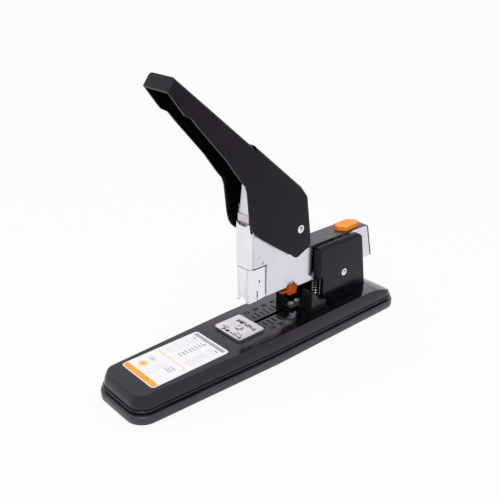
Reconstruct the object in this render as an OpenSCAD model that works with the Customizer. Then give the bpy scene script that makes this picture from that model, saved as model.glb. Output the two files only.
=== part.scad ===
// Heavy-duty desk stapler with a raised head, a long press handle, a sliding magazine
// and an adjustable paper guide. Y runs from the front (minus) to the hinge (plus), Z is up.
// Every length is in millimetres, at rest: head raised, handle up, magazine shut.

/* [Base] */
// overall length of the base
base_length = 286; // [235:1:345]
// base width at its widest station
base_width = 71; // [58:1:86]
// how much narrower the front end is than the widest station
front_taper = 11.5; // [4:0.5:16]
// distance of the widest station behind the front end
widest_from_front = 130; // [90:1:150]
// plan radius of the base corners
corner_radius = 15; // [12:0.5:24]
// height of the steel deck
base_height = 22.5; // [20:0.5:30]
// height of the tray's outer rim
tray_height = 8; // [6:0.5:10]
// steel thickness of the base shell
shell_wall = 1.2; // [0.8:0.1:1.6]
// length of the sloping tail of the deck
tail_length = 36; // [30:1:44]
// length of the size label
label_length = 72; // [50:1:90]

/* [Head] */
// distance of the main pivot ahead of the base's rear end
pivot_from_rear = 58; // [52:0.5:66]
// height of the main pivot
pivot_height = 46; // [42:0.5:52]
// distance from the main pivot to the front of the nose
nose_reach = 104.6; // [96:0.5:125]
// height of the nose's lowest edge with the head raised
nose_height = 47.5; // [45:0.5:56]
// width of the staple crown the magazine takes
staple_crown = 13; // [12:0.1:14]
// leg length of the longest staple
staple_leg = 24; // [20:0.5:28]
// sheet thickness of the head's side plates
frame_wall = 1; // [0.8:0.1:1.4]
// radius of the main pivot pin
pivot_radius = 2.5; // [2:0.1:3.5]

/* [Handle] */
// handle pin behind the front of the nose
pin_from_nose = 50.1; // [46:0.5:56]
// handle pin above the nose's lowest edge
pin_rise = 54; // [50:0.5:62]
// outer width of the handle
handle_width = 28; // [26:0.5:36]
// sheet thickness of the handle
handle_wall = 1.4; // [1:0.1:1.8]
// radius of the handle pin
pin_radius = 2.5; // [2:0.1:3.5]
// bend radius along the back of the handle
bend_radius = 2.5; // [1.5:0.1:3]
// handle turn from up to fully pressed, degrees
press_angle = 40; // [34:1:42]

/* [Bracket and guide] */
// outer width of the hinge bracket
bracket_width = 32; // [30:0.5:38]
// sheet thickness of the hinge bracket
bracket_wall = 1.5; // [1.2:0.1:2]
// bend radius of the bracket's turned-in edges
bracket_bend = 4; // [3:0.5:5]
// height of the paper guide's stop walls above the deck
guide_height = 20; // [14:0.5:22]
// travel of the paper guide
guide_travel = 34; // [20:1:36]
// width and length of the anvil plate
anvil_width = 32; // [26:0.5:36]
anvil_length = 28; // [24:0.5:32]

/* [Fits] */
// gap between parts that move past each other
move_gap = 0.3; // [0.2:0.05:0.5]
// radial gap of a pin turning in its hole
run_gap = 0.05; // [0.02:0.01:0.1]

/* [Hidden] */
$fa = 6;
$fs = 0.5;
eps = 0.01;
hair = 0.02;

// base
half_length = base_length / 2;
half_width = base_width / 2;
outline = [
  [half_width - front_taper / 2, -half_length],
  [half_width, widest_from_front - half_length],
  [half_width, half_length],
  [-half_width, half_length],
  [-half_width, widest_from_front - half_length],
  [front_taper / 2 - half_width, -half_length]];
tray_base = 0.6;
tray_floor = 2.2;
ledge_out = 4.6;
ledge_wall = 1.9;
flange_low = tray_height + 2.2;
flange_high = flange_low + shell_wall;
flange_inset = 2.6;
bead_radius = 0.9;
shell_foot_inset = 3;
deck_inset = 6;
side_bulge = 20;
corner_chords = 8;
tail_start = half_length - tail_length;
tail_drop = base_height - flange_high - 0.3;
tail_radius = (pow(tail_length, 2) + pow(tail_drop, 2)) / (2 * tail_drop);

// head, in base coordinates
pivot_y = half_length - pivot_from_rear;
nose_y = pivot_y - nose_reach;
pin_y = nose_y + pin_from_nose;
pin_z = nose_height + pin_rise;
sheet = 0.8;
channel_half = staple_crown / 2 + 0.2 + sheet;
channel_in = channel_half - sheet;
frame_in = channel_half + 0.5;
frame_half = frame_in + frame_wall;
nose_out = frame_in;
nose_corner = 1.8;
frame_low = nose_height + 2;
frame_step = nose_height - 1;
seam_z = nose_height + 30;
cover_wall = 1;
cover_top = seam_z + 1.8;
frame_top = cover_top - cover_wall;
cover_half = frame_half + 0.4;
nose_top = seam_z + 38.5;
ear_front = nose_y + 4.4;
ear_top = pin_z + 10.5;
step_y = nose_y + 18.6;
notch_y = nose_y + 41.6;
notch_width = 10;
notch_rise = 4;
rear_slant = 13;
rear_radius = 5;
rear_center = [pivot_y + 34, cover_top - rear_radius];
rear_drop = 29;
pivot_ear = 8;
pin_ear = 8.5;
head_pin = [pivot_y, pivot_height];
hand_pin = [pin_y, pin_z];
shelf_low = seam_z + 1.5;
shelf_high = shelf_low + 1.2;
spring_seat_y = pivot_y - 18;
spring_seat_z = nose_height + 0.1;
strip_z = nose_height + 1.1;
strip_wall = 1;
button_y = [pivot_y + 6, pivot_y + 32];
button_half = 8;
button_rise = 3;
button_flange = 1;
button_low = frame_top - frame_wall - 0.2 - button_flange;
seat_wall = 0.7;
seat_z = nose_height + 25.4;

// magazine
floor_low = nose_height + 2.5;
floor_high = floor_low + sheet;
core_half = channel_in - 1.4;
core_wall = 1;
core_top = floor_low + staple_leg - 2;
channel_top = core_top - 2;
core_front = nose_y + 2.6;
magazine_rear = pivot_y + 23;
tail_front = magazine_rear - 4;
rod_radius = 1.5;
rod_z = core_top - 9;
pusher_front = core_front + 0.4;
pusher_length = 14;
pusher_top = core_top + 2.4;
push_slot = 1.2;

// ram and lever, along the same arc as the handle
lever_arm = 40;
lever_rest = 32;
lever_pin_radius = 2.2;
lever_tip = [pin_y - lever_arm * cos(lever_rest), pin_z + lever_arm * sin(lever_rest)];
stroke = lever_arm * (sin(lever_rest) + sin(press_angle - lever_rest));
blade_front = nose_y + 1.2;
blade_wall = 1;
ram_front = blade_front + blade_wall;
ram_wall = 2.2;
ram_half = channel_in - 0.3;
lug_wall = 1;
lever_out = ram_half - lug_wall - move_gap;
lever_wall = 1.2;
lever_in = lever_out - lever_wall;
ram_low = core_top + 3.7 + stroke;
blade_low = seam_z - 2.3;
lug_low = lever_tip[1] - 6.5;
lug_high = lever_tip[1] + 7;
neck_z = lug_low;
tongue_z = lever_tip[1] + 22;
tongue_half = 2.6;
seat_tongue = lug_low - 2.5;
ram_spring_y = ram_front + 8.4;

// handle
hand_half = handle_width / 2;
hand_in = hand_half - handle_wall;

// bracket, guide, anvil
bracket_half = bracket_width / 2;
bracket_front = pivot_y - 33;
bracket_top = pivot_height + 31.6;
bracket_lip = 5;
bracket_rear = pivot_y + 19;
bracket_foot = 10;
guide_front = nose_y + 58.6;
guide_length = 18;
guide_out = half_width - deck_inset - 7.5;
guide_in = frame_half + 1;
guide_bridge = 2.2;
slot_half = 1.75;
screw_y = [guide_front - 3.5, guide_front + 4.5];
slot_front = screw_y[0] - guide_travel - 8.5;
slot_rear = guide_front + 8;
anvil_y = nose_y - 3.4;
anvil_low = base_height + move_gap;
anvil_wall = 2;
clinch_row = 7.6;
label_half = half_width - deck_inset - 8.7;
label_rear = anvil_y - anvil_length / 2 - 14;
label_wall = 0.25;

// 2-D helpers
function heading(a, b) = atan2(b[1] - a[1], b[0] - a[0]);
function turn(a, b, c) = (heading(b, c) - heading(a, b) + 540) % 360 - 180;

// polygon with rounded convex corners; points run anticlockwise
module rounded_outline(points, radii) {
  count = len(points);
  ends = [for (i = [0:count - 1])
    let (a = points[(i + count - 1) % count], b = points[i], c = points[(i + 1) % count])
    let (run = radii[i] * tan(turn(a, b, c) / 2), h0 = heading(a, b), h1 = heading(b, c))
    [b - run * [cos(h0), sin(h0)], b + run * [cos(h1), sin(h1)]]];
  polygon([for (pair = ends) each pair]);
  for (i = [0:count - 1])
    if (radii[i] > 0)
      translate(corner_center(points, radii[i], i)) circle(r = radii[i]);
}

function corner_center(points, r, i) =
  let (count = len(points))
  let (a = points[(i + count - 1) % count], b = points[i], c = points[(i + 1) % count])
  let (bend = turn(a, b, c), side = heading(a, b) + 90 + bend / 2)
  b + r / cos(bend / 2) * [cos(side), sin(side)];

module rounded_rect(width, height, r) {
  x = width / 2;
  y = height / 2;
  rounded_outline([[-x, -y], [x, -y], [x, y], [-x, y]], [r, r, r, r]);
}

// is this bend a rounded corner, or a slight one that is mitred?
function is_corner(bend) = bend > 20;

// plan of the base, inset from its outline, its rounded corners drawn as short chords
function base_plan(inset) = let (count = len(outline), r = corner_radius - inset)
  [for (i = [0:count - 1])
    let (a = outline[(i + count - 1) % count], b = outline[i], c = outline[(i + 1) % count])
    let (bend = turn(a, b, c), side = heading(a, b) - 90, at = corner_center(outline, corner_radius, i))
    each is_corner(bend) ? [for (k = [0:corner_chords]) let (h = side + bend * k / corner_chords)
        at + r * [cos(h), sin(h)]] :
      [at + r / cos(bend / 2) * [cos(side + bend / 2), sin(side + bend / 2)]]];

// closed solid skinned over plans of the base; each row of the profile is an [inset, height]
// pair, and the first and last rows are capped
module plan_loft(profile) {
  rows = [for (p = profile) [for (q = base_plan(p[0])) [q[0], q[1], p[1]]]];
  count = len(rows[0]);
  last = (len(rows) - 1) * count;
  skin = [for (j = [0:len(rows) - 2], i = [0:count - 1])
    let (a = j * count + i, b = j * count + (i + 1) % count)
    each [[a, a + count, b + count], [a, b + count, b]]];
  start = [[for (i = [0:count - 1]) i]];
  finish = [[for (i = [count - 1:-1:0]) last + i]];
  polyhedron([for (row = rows) each row], concat(skin, start, finish), convexity = 6);
}

// profile drawn in (y, z), extruded symmetrically across X
module across(half) {
  translate([-half, 0, 0]) rotate([90, 0, 90]) linear_extrude(2 * half) children();
}

// profile drawn in (y, z), as a pair of plates between two half widths
module plates(inner, outer) {
  for (s = [-1, 1])
    translate([s > 0 ? inner : -outer, 0, 0]) rotate([90, 0, 90]) linear_extrude(outer - inner)
      children();
}

module cross_pin(at, r, half) {
  translate([-half, at[0], at[1]]) rotate([0, 90, 0]) cylinder(r = r, h = 2 * half);
}

// helical wire: coils around Z from z = 0 to z = height
module coil(r, wire, height, turns, steps = 14, sides = 5) {
  count = round(turns * steps);
  rise = height - 2 * wire;
  rings = [for (i = [0:count]) let (a = 360 * i / steps)
    [for (k = [0:sides - 1]) let (b = 360 * k / sides)
      [(r + wire * cos(b)) * cos(a), (r + wire * cos(b)) * sin(a),
        wire + rise * i / count + wire * sin(b)]]];
  points = [for (ring = rings) each ring];
  skin = [for (i = [0:count - 1], k = [0:sides - 1]) let (n = (k + 1) % sides)
    each [[i * sides + k, i * sides + n, (i + 1) * sides + n],
      [i * sides + k, (i + 1) * sides + n, (i + 1) * sides + k]]];
  start = [[for (k = [sides - 1:-1:0]) k]];
  finish = [[for (k = [0:sides - 1]) count * sides + k]];
  polyhedron(points, concat(skin, start, finish), convexity = 10);
}

// base ---------------------------------------------------------------------------------

// rows up the bulging side of the pressed form, from its foot to the deck; inset is 0 for
// its skin and one wall for its hollow
function form_rows(inset) =
  let (low = [-shell_foot_inset, flange_high], high = [-deck_inset, base_height])
  let (half_chord = norm(high - low) / 2, lean = heading(low, high) + 90)
  let (depth = sqrt(pow(side_bulge, 2) - pow(half_chord, 2)))
  let (center = (low + high) / 2 + depth * [cos(lean), sin(lean)], skin = side_bulge - inset)
  let (start = asin((flange_high - inset - center[1]) / skin))
  let (finish = asin((base_height - inset - center[1]) / skin))
  [for (i = [0:5]) let (a = start + (finish - start) * i / 5)
    [-center[0] - skin * cos(a), center[1] + skin * sin(a)]];

// rows round the bead that the flange's edge is rolled into, from its foot to its top
function bead_rows() = let (mid = flange_low + shell_wall / 2)
  [for (a = [-120:30:120]) [flange_inset - bead_radius * cos(a), mid + bead_radius * sin(a)]];

// side view of the deck and its sloping tail, shrunk by inset
module tail_side(inset) {
  r = tail_radius - inset;
  sweep = asin((tail_length + 2) / tail_radius);
  arc = [for (i = [0:8]) let (a = 90 - sweep * i / 8)
    [tail_start + r * cos(a), base_height - tail_radius + r * sin(a)]];
  polygon(concat(arc, [[half_length + 9, arc[8][1]], [half_length + 9, 0],
    [-half_length - 9, 0], [-half_length - 9, base_height - inset]]));
}

module base_shell() {
  color([0.05, 0.05, 0.06]) difference() {
    intersection() {
      plan_loft(concat([[flange_inset + 2, flange_low]], bead_rows(), form_rows(0)));
      across(half_width + 9) tail_side(0);
    }
    intersection() {
      plan_loft(concat([[shell_foot_inset + 2 * shell_wall, 1]], form_rows(shell_wall)));
      across(half_width + 9) tail_side(shell_wall);
    }
    deck_slot();
    translate([0, anvil_y, 0]) cylinder(r = pin_radius, h = 2 * base_height);
  }
}

module deck_slot() {
  translate([-slot_half, slot_front, base_height - 3])
    cube([2 * slot_half, slot_rear - slot_front, 6]);
  for (y = [slot_front, slot_rear])
    translate([0, y, base_height - 3]) cylinder(r = slot_half, h = 6);
}

// rows up the tray: its rim with rounded lips, the groove above it and the ledge under the shell
function tray_rows() = let (lip = 1.5)
  concat([for (a = [-90:30:0]) [lip - lip * cos(a), tray_base + lip + lip * sin(a)]],
    [for (a = [0:30:90]) [lip - lip * cos(a), tray_height - lip + lip * sin(a)]],
    [[ledge_out, tray_height], [ledge_out, flange_low]]);

module base_tray() {
  color([0.12, 0.12, 0.13]) difference() {
    union() {
      difference() {
        plan_loft(tray_rows());
        plan_loft([[ledge_out + ledge_wall, tray_floor], [ledge_out + ledge_wall, base_height]]);
      }
      for (x = [-1, 1], y = screw_rows())
        translate([x * screw_x, y, tray_base + 1]) cylinder(r = 4, h = screw_post - 1);
      for (y = [-half_length + 60, -half_length + 120, half_length - 100, half_length - 50])
        translate([-half_width + 12, y, tray_floor - eps]) cube([base_width - 24, 1.5, 3]);
    }
    for (x = [-1, 1], y = screw_rows())
      translate([x * screw_x, y, 0]) {
        cylinder(r = 1.5, h = 3 * base_height);
        cylinder(r = 3, h = tray_base + 2.4);
      }
    for (y = pad_rows) translate([0, y, 0]) linear_extrude(tray_base + 0.8)
      rounded_rect(pad_width, pad_length, 4);
  }
}

screw_x = half_width - 18;
screw_post = base_height - shell_wall - tray_base;
function screw_rows() = [-half_length + 44, half_length - 50];
pad_rows = [-half_length + 28, half_length - 30];
pad_width = base_width - 24;
pad_length = 14;

module base_pads() {
  color([0.03, 0.03, 0.03]) for (y = pad_rows)
    translate([0, y, 0]) linear_extrude(tray_base + 0.8) rounded_rect(pad_width, pad_length, 4);
}

module base_screws() {
  color([0.7, 0.7, 0.72]) for (x = [-1, 1], y = screw_rows())
    translate([x * screw_x, y, tray_base + 0.6]) difference() {
      union() {
        cylinder(r = 2.9, h = 1.8);
        cylinder(r = 1.5, h = 12);
      }
      for (a = [0, 90]) rotate(a) translate([-1.8, -0.35, -eps]) cube([3.6, 0.7, 1]);
    }
}

module size_label() {
  color([0.95, 0.95, 0.94]) translate([0, label_rear - label_length / 2, base_height])
    linear_extrude(label_wall) rounded_rect(2 * label_half, label_length, 3);
}

// hinge bracket ------------------------------------------------------------------------

// one closed form with rounded front and top edges; inset moves every face inwards
module bracket_form(inset) {
  half = bracket_half - inset;
  bend = bracket_bend - inset;
  top = bracket_top - inset;
  front = bracket_front + inset;
  rear = bracket_rear + 12;
  low = base_height - 5;
  intersection() {
    translate([0, rear + 10, 0]) rotate([90, 0, 0]) linear_extrude(rear + 10 - front)
      rounded_outline([[-half, low], [half, low], [half, top], [-half, top]], [0, 0, bend, bend]);
    translate([0, 0, low]) linear_extrude(top - low)
      rounded_outline([[-half, front], [half, front], [half, rear + 10], [-half, rear + 10]],
        [bend, bend, 0, 0]);
    across(half) rounded_outline([[front, low], [rear + inset * 40, low],
      [bracket_rear + 3 + inset * 40, top], [front, top]], [0, 0, inset > 0 ? 0 : 7, bend]);
  }
}

module bracket() {
  color([0.05, 0.05, 0.06]) difference() {
    union() {
      difference() {
        bracket_form(0);
        bracket_form(bracket_wall);
        translate([-bracket_half + bracket_lip, 0, 0])
          cube([bracket_width - 2 * bracket_lip, base_length, 2 * bracket_top]);
        translate([-bracket_half - 1, bracket_front - 1, 0])
          cube([bracket_width + 2, 8, nose_height + 1.5]);
      }
      translate([0, bracket_front + 12, base_height]) linear_extrude(bracket_wall)
        bracket_feet(bracket_half + bracket_foot, bracket_rear + 8 - bracket_front - 12);
    }
    translate([-half_width, 0, -base_height]) cube([base_width, half_length, 2 * base_height]);
    cross_pin(head_pin, pivot_radius, bracket_half + 1);
    for (p = foot_rivets()) translate([p[0], p[1], 0]) cylinder(r = 1.5, h = 2 * base_height);
  }
}

// plan of the bracket's foot: a web between the plates and a flange outside each
module bracket_feet(half, length) {
  r = 4;
  rounded_outline([[-half, 0], [half, 0], [half, length - 12], [bracket_half, length],
    [-bracket_half, length], [-half, length - 12]], [r, r, r, 0, 0, r]);
}

function foot_rivets() = [for (s = [-1, 1], y = [bracket_front + 17, bracket_front + 38])
  [s * (bracket_half + 4.5), y]];

module bracket_rivets() {
  color([0.1, 0.1, 0.1]) for (p = foot_rivets()) translate([p[0], p[1], 0]) {
    translate([0, 0, base_height]) cylinder(r = 1.5, h = bracket_wall);
    translate([0, 0, base_height + bracket_wall]) cylinder(r = 2.8, h = 0.7);
  }
}

module pivot_pin() {
  color([0.75, 0.75, 0.78]) difference() {
    union() {
      cross_pin(head_pin, pivot_radius, bracket_half + 0.5);
      for (s = [-1, 1]) translate([s * (bracket_half + 0.4), 0, 0])
        cross_pin(head_pin, pivot_radius + 0.7, 0.4);
    }
    for (s = [-1, 1]) translate([s * (bracket_half + 0.9), 0, 0])
      cross_pin(head_pin, pivot_radius - 1.2, 1.2);
  }
}

module pivot_spacers() {
  color([0.6, 0.6, 0.6]) for (s = [-1, 1]) difference() {
    translate([s * (frame_half + move_gap + bracket_half - bracket_wall) / 2, 0, 0])
      cross_pin(head_pin, pivot_radius + 2.5, (bracket_half - bracket_wall - frame_half - move_gap) / 2);
    cross_pin(head_pin, pivot_radius, bracket_half);
  }
}

module return_spring() {
  low = base_height + bracket_wall;
  color([0.5, 0.5, 0.52]) translate([0, spring_seat_y, low])
    coil(3.4, 0.6, spring_seat_z - low, 9);
}

// anvil --------------------------------------------------------------------------------

module groove(x0, x1, y) {
  r = 1.2;
  floor_z = anvil_low + anvil_wall - 0.8;
  translate([x0, y - r, floor_z]) cube([x1 - x0, 2 * r, 2]);
  for (x = [x0, x1]) translate([x, y, floor_z]) cylinder(r = r, h = 2);
}

module anvil_plate() {
  color([0.75, 0.75, 0.76]) translate([0, anvil_y, 0]) difference() {
    translate([0, 0, anvil_low]) linear_extrude(anvil_wall)
      rounded_rect(anvil_width, anvil_length, 3);
    for (s = [-1, 1]) {
      groove(s > 0 ? 1.5 : -6.5, s > 0 ? 6.5 : -1.5, clinch_row);
      groove(s > 0 ? 5.5 : -10.5, s > 0 ? 10.5 : -5.5, -clinch_row);
    }
    cylinder(r = pin_radius + run_gap, h = 2 * base_height);
  }
}

module anvil_stud() {
  low = base_height - shell_wall - 1;
  high = anvil_low + anvil_wall + move_gap;
  color([0.7, 0.7, 0.72]) translate([0, anvil_y, 0]) difference() {
    union() {
      translate([0, 0, low]) cylinder(r = pin_radius, h = high + 0.8 - low);
      translate([0, 0, low]) cylinder(r = pin_radius + 3, h = 1);
      translate([0, 0, high]) cylinder(r = pin_radius + 1, h = 0.8);
    }
    translate([0, 0, high]) cylinder(r = 1.2, h = 2);
  }
}

// paper guide --------------------------------------------------------------------------

module paper_guide() {
  low = base_height + move_gap;
  high = base_height + guide_height;
  color([0.08, 0.08, 0.09]) difference() {
    union() {
      translate([-guide_out, guide_front, low]) cube([2 * guide_out, guide_length, guide_bridge]);
      translate([-6, guide_front - 8, low]) cube([12, 9, guide_bridge]);
      for (s = [-1, 1]) {
        translate([s > 0 ? guide_in : -guide_out, guide_front, low])
          cube([guide_out - guide_in, 3, high - low]);
        for (x = [guide_in, guide_out - 1.6]) translate([s > 0 ? x : -x - 1.6, 0, 0])
          rotate([90, 0, 90]) linear_extrude(1.6) guide_gusset(low, high);
      }
    }
    for (y = screw_y) translate([0, y, 0]) cylinder(r = 1.5, h = 2 * base_height);
  }
}

module guide_gusset(low, high) {
  y = guide_front;
  polygon([[y, low], [y + guide_length, low], [y + guide_length, low + 8], [y + 9, low + 11],
    [y + 3, high]]);
}

module guide_screws() {
  low = base_height + move_gap + guide_bridge;
  color([0.85, 0.85, 0.86]) for (y = screw_y) translate([0, y, 0]) difference() {
    union() {
      translate([0, 0, base_height - shell_wall - move_gap - 2])
        cylinder(r = 1.5, h = low - base_height + shell_wall + move_gap + 2);
      translate([0, 0, low]) cylinder(r = 2.4, h = 1.4);
    }
    translate([-2.4, -0.3, low + 0.8]) cube([4.8, 0.6, 1]);
  }
}

module guide_foot() {
  high = base_height - shell_wall - move_gap;
  color([0.6, 0.6, 0.6]) difference() {
    translate([-6, screw_y[0] - 4, high - 2]) cube([12, screw_y[1] - screw_y[0] + 8, 2]);
    for (y = screw_y) translate([0, y, 0]) cylinder(r = 1.5, h = base_height);
  }
}

// head ---------------------------------------------------------------------------------

// side view of the head's rear end and its top line; d moves the line inwards
module head_rear(d) {
  r = rear_radius - d;
  out = [cos(rear_slant), sin(rear_slant)];
  down = [sin(rear_slant), -cos(rear_slant)];
  shoulder = rear_center + r * out;
  polygon([[pivot_y - 39, rear_center[1] + r], [pivot_y - 39, frame_step],
    [shoulder[0] + rear_drop * down[0], frame_step], shoulder + rear_drop * down, shoulder,
    rear_center + [0, r]]);
  translate(rear_center) circle(r = r);
}

module frame_side() {
  difference() {
    union() {
      intersection() {
        head_rear(cover_wall);
        translate([0, frame_step]) square([base_length, 100]);
      }
      polygon([[step_y, frame_low], [notch_y - 1, frame_low], [notch_y, frame_low + notch_rise],
        [notch_y + notch_width - 3, frame_low + notch_rise], [notch_y + notch_width, frame_step + 3],
        [notch_y + notch_width + 3, frame_step], [pivot_y, frame_step], [pivot_y, frame_top],
        [pin_y + pin_ear + 3, frame_top], [pin_y + pin_ear, frame_top + 5],
        [pin_y + pin_ear, pin_z], [pin_y, pin_z + pin_ear], [pin_y - 8, ear_top],
        [ear_front, ear_top], [ear_front, seam_z + 0.5], [step_y, seam_z + 0.5]]);
      translate(hand_pin) circle(r = pin_ear);
      translate(head_pin) circle(r = pivot_ear);
      translate([pivot_y - pivot_ear, pivot_height]) square([2 * pivot_ear, 6]);
    }
    translate(head_pin) circle(r = pivot_radius + run_gap);
    translate(hand_pin) circle(r = pin_radius + run_gap);
  }
}

module head_frame() {
  strips = [[notch_y + notch_width + 5, 10], [pivot_y + 15, 10]];
  color([0.8, 0.8, 0.82]) {
    plates(frame_in, frame_half) frame_side();
    difference() {
      translate([-frame_in, pivot_y - 39, frame_top - frame_wall])
        cube([2 * frame_in, 73, frame_wall]);
      button_window();
    }
    for (s = strips) translate([-frame_in, s[0], strip_z]) cube([2 * frame_in, s[1], strip_wall]);
    translate([-frame_in, spring_seat_y - 5, spring_seat_z])
      cube([2 * frame_in, 10, strip_wall]);
    translate([-frame_in, nose_y + 16, shelf_low]) cube([2 * frame_in, 16, shelf_high - shelf_low]);
    translate([1 - channel_in, nose_y + 6, shelf_low])
      cube([2 * channel_in - 2, 12, shelf_high - shelf_low]);
    translate([-frame_in, button_y[0] + 7, seat_z]) cube([2 * frame_in, 12, seat_wall]);
  }
}

module button_window() {
  translate([0, (button_y[0] + button_y[1]) / 2, seat_z + 2]) linear_extrude(20)
    button_outline(move_gap);
}

module button_outline(grow) {
  x = min(button_half, frame_in - 2 * move_gap) + grow;
  y = (button_y[1] - button_y[0]) / 2 + grow;
  cut = 5;
  polygon([[-x, -y + cut], [-x + cut, -y], [x - cut, -y], [x, -y + cut], [x, y - cut],
    [x - cut, y], [-x + cut, y], [-x, y - cut]]);
}

// U-shaped plan of a nose sheet, open to the rear
module nose_plan(half, rear) {
  difference() {
    rounded_outline([[-half, nose_y], [half, nose_y], [half, rear], [-half, rear]],
      [nose_corner, nose_corner, 0, 0]);
    rounded_outline([[sheet - half, nose_y + sheet], [half - sheet, nose_y + sheet],
      [half - sheet, rear + 1], [sheet - half, rear + 1]],
      [nose_corner - sheet, nose_corner - sheet, 0, 0]);
  }
}

module nose_cover() {
  color([0.84, 0.84, 0.86]) difference() {
    translate([0, 0, seam_z + 0.4]) linear_extrude(nose_top - seam_z - 0.4)
      nose_plan(nose_out, nose_y + 15.6);
    translate([-4, nose_y - 1, nose_top - 2.5]) cube([8, 3, 4]);
  }
}

module top_cover() {
  color([0.06, 0.06, 0.07]) difference() {
    across(cover_half) difference() {
      head_rear(0);
      head_rear(cover_wall);
      translate([0, 0]) square([pivot_y, frame_top]);
      square([base_length, frame_step]);
    }
    button_window();
  }
}

module nose_rivets() {
  color([0.8, 0.8, 0.82]) for (s = [-1, 1], z = [seam_z + 8, nose_top - 12])
    translate([s > 0 ? frame_half : -frame_half - 0.5, nose_y + 10, z])
      rotate([0, 90, 0]) cylinder(r = 1.6, h = 0.5);
}

module catch_tab() {
  y = notch_y + 3.4;
  z = frame_low - 10;
  color([0.95, 0.4, 0.05]) translate([frame_in - 3.6, 0, 0]) rotate([90, 0, 90])
    linear_extrude(3.2) polygon([[y, z + 0.8], [y + 1, z], [y + 9, z], [y + 9, frame_step + 3],
      [y + 1, frame_step + 3], [y, z + 6], [y - 8, z + 5.4], [y - 8, z + 4.2], [y, z + 4]]);
}

module catch_clip() {
  y = notch_y + 12.4;
  z = frame_low - 10;
  color([0.75, 0.76, 0.78]) {
    translate([frame_in - 3.6, y, z]) cube([3.2, 1, strip_z - z]);
    translate([frame_in - 3.6, y, strip_z - 1]) cube([3.2, 10, 1]);
  }
}

module driver_spring() {
  color([0.7, 0.7, 0.72]) translate([0, ram_spring_y, shelf_high])
    coil(2.7, 0.5, seat_tongue - shelf_high, 8);
}

module button_spring() {
  color([0.7, 0.7, 0.72])
    translate([0, (button_y[0] + button_y[1]) / 2, seat_z + seat_wall])
      coil(3, 0.4, cover_top + button_rise - 2 - seat_z - seat_wall, 5);
}

module release_button() {
  color([0.97, 0.42, 0.04]) translate([0, (button_y[0] + button_y[1]) / 2, 0]) difference() {
    union() {
      translate([0, 0, button_low])
        linear_extrude(cover_top + button_rise - 0.8 - button_low) button_outline(0);
      translate([0, 0, cover_top + button_rise - 0.8]) linear_extrude(0.4) button_outline(-0.3);
      translate([0, 0, cover_top + button_rise - 0.4]) linear_extrude(0.4) button_outline(-0.7);
      translate([1.5 - button_half, -(button_y[1] - button_y[0]) / 2 - 1, button_low])
        cube([2 * button_half - 3, button_y[1] - button_y[0] + 2, button_flange]);
    }
    translate([0, 0, button_low - eps])
      linear_extrude(cover_top + button_rise - 2 - button_low) button_outline(-1.5);
  }
}

// magazine -----------------------------------------------------------------------------

module nose_plate() {
  rear = step_y;
  color([0.84, 0.84, 0.86]) difference() {
    translate([0, 0, nose_height]) linear_extrude(seam_z - nose_height) nose_plan(channel_half, rear);
    translate([-channel_half - 1, ear_front, seam_z - 1.5]) cube([2 * channel_half + 2, 30, 5]);
    translate([-channel_half - 1, nose_y + 9.2, nose_height - 1])
      cube([2 * channel_half + 2, 0.8, 10]);
    translate([0, nose_y + 2, nose_height - 1]) rotate([90, 0, 0]) cylinder(r = 4.5, h = 4);
    rotate([90, 0, 90]) translate([0, 0, -10]) linear_extrude(20)
      polygon([[nose_y + 9.6, nose_height - 1], [rear + 1, nose_height - 1],
        [rear + 1, nose_height + 1.6], [nose_y + 9.6, nose_height]]);
  }
}

module magazine_channel() {
  color([0.7, 0.7, 0.72]) difference() {
    union() {
      plates(channel_in, channel_half) polygon([[step_y, floor_low], [magazine_rear, floor_low],
        [magazine_rear, channel_top], [step_y, channel_top]]);
      translate([-channel_half, core_front + 1, floor_low])
        cube([channel_half - (core_half - core_wall), magazine_rear - core_front - 1, sheet]);
      translate([core_half - core_wall, core_front + 1, floor_low])
        cube([channel_half - (core_half - core_wall), magazine_rear - core_front - 1, sheet]);
      translate([-channel_half, tail_front - 20, floor_low]) cube([2 * channel_half, 24, sheet]);
      translate([-channel_in, step_y - 6, floor_low]) cube([2 * channel_in, 8, sheet]);
    }
    translate([-20, core_front - 5, floor_low - 1]) cube([20 - channel_in, step_y - core_front + 5, 5]);
    translate([channel_in, core_front - 5, floor_low - 1]) cube([20, step_y - core_front + 5, 5]);
  }
}

module magazine_core() {
  low = floor_high;
  color([0.62, 0.62, 0.64]) difference() {
    translate([-core_half, core_front, low])
      cube([2 * core_half, tail_front - core_front, core_top - low]);
    translate([core_wall - core_half, core_front + 1, low - 1])
      cube([2 * (core_half - core_wall), base_length, core_top - low + 1 - core_wall]);
    translate([-push_slot, pusher_front + 1.5, core_top - 2])
      cube([2 * push_slot, base_length, 4]);
  }
}

module magazine_tail() {
  color([0.15, 0.15, 0.16]) difference() {
    translate([-channel_in, tail_front, floor_high])
      cube([2 * channel_in, magazine_rear - tail_front, channel_top - floor_high + 1.5]);
    translate([0, tail_front - 1, rod_z]) rotate([-90, 0, 0]) cylinder(r = rod_radius, h = 3);
  }
}

module pusher_rod() {
  color([0.75, 0.75, 0.77]) translate([0, core_front + 1, rod_z]) rotate([-90, 0, 0])
    cylinder(r = rod_radius, h = tail_front + 2 - core_front - 1);
}

module pusher_spring() {
  start = pusher_front + pusher_length - 2;
  color([0.7, 0.7, 0.72]) translate([0, start, rod_z]) rotate([-90, 0, 0])
    coil(2.2, 0.35, tail_front - start, 22, 12, 4);
}

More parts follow.
